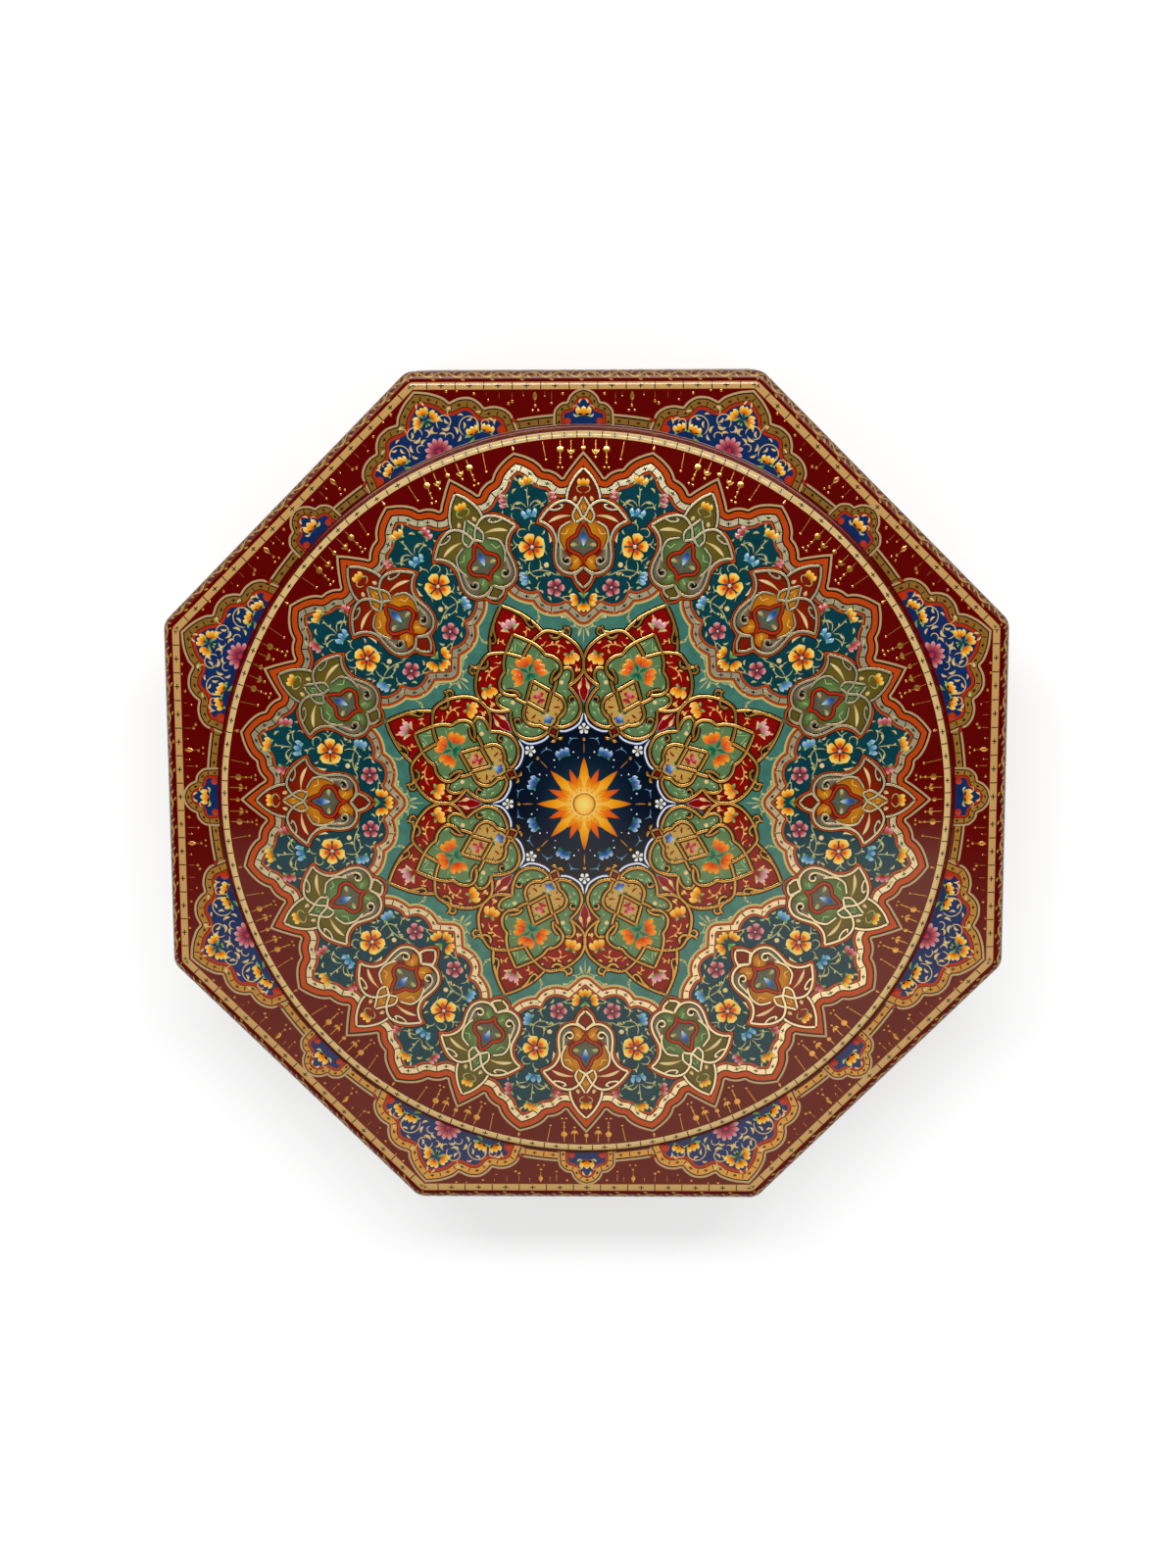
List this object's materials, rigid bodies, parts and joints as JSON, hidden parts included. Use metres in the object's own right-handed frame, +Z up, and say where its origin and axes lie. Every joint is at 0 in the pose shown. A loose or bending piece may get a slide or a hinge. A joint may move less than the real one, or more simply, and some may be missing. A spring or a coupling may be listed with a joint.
{
  "type": "lidded box",
  "caption": "Octagonal lacquered papier-mache box with a lift-off lid, a round domed medallion on the lid and a velvet-lined tray with a locating collar.",
  "frame": {"origin": "centre of the underside, on the table", "axes": "+Z up through the centre of the lid; the box's flats face +X, -X, +Y, -Y and the four directions between them"},
  "size_m": [0.28, 0.28, 0.0935],
  "materials": {
    "lacquer_red": "painted and varnished moulded paper, glossy",
    "collar_black": "lacquered card, satin",
    "velvet_red": "short-pile velvet",
    "felt_green": "pressed felt"
  },
  "bodies": {
    "base": {"base_tray": "lacquer_red", "base_collar": "collar_black", "base_felt": "felt_green", "floor_lining": "velvet_red", "wall_lining_1": "velvet_red", "wall_lining_2": "velvet_red", "wall_lining_3": "velvet_red", "wall_lining_4": "velvet_red", "wall_lining_5": "velvet_red", "wall_lining_6": "velvet_red", "wall_lining_7": "velvet_red", "wall_lining_8": "velvet_red"},
    "lid": {"lid_shell": "lacquer_red", "lid_medallion": "lacquer_red", "lid_lining": "velvet_red"}
  },
  "joints": [
    {"name": "lid_lift", "type": "slide", "parent": "base", "child": "lid", "axis": [0, 0, 1], "range_m": [0, 0.1]}
  ]
}
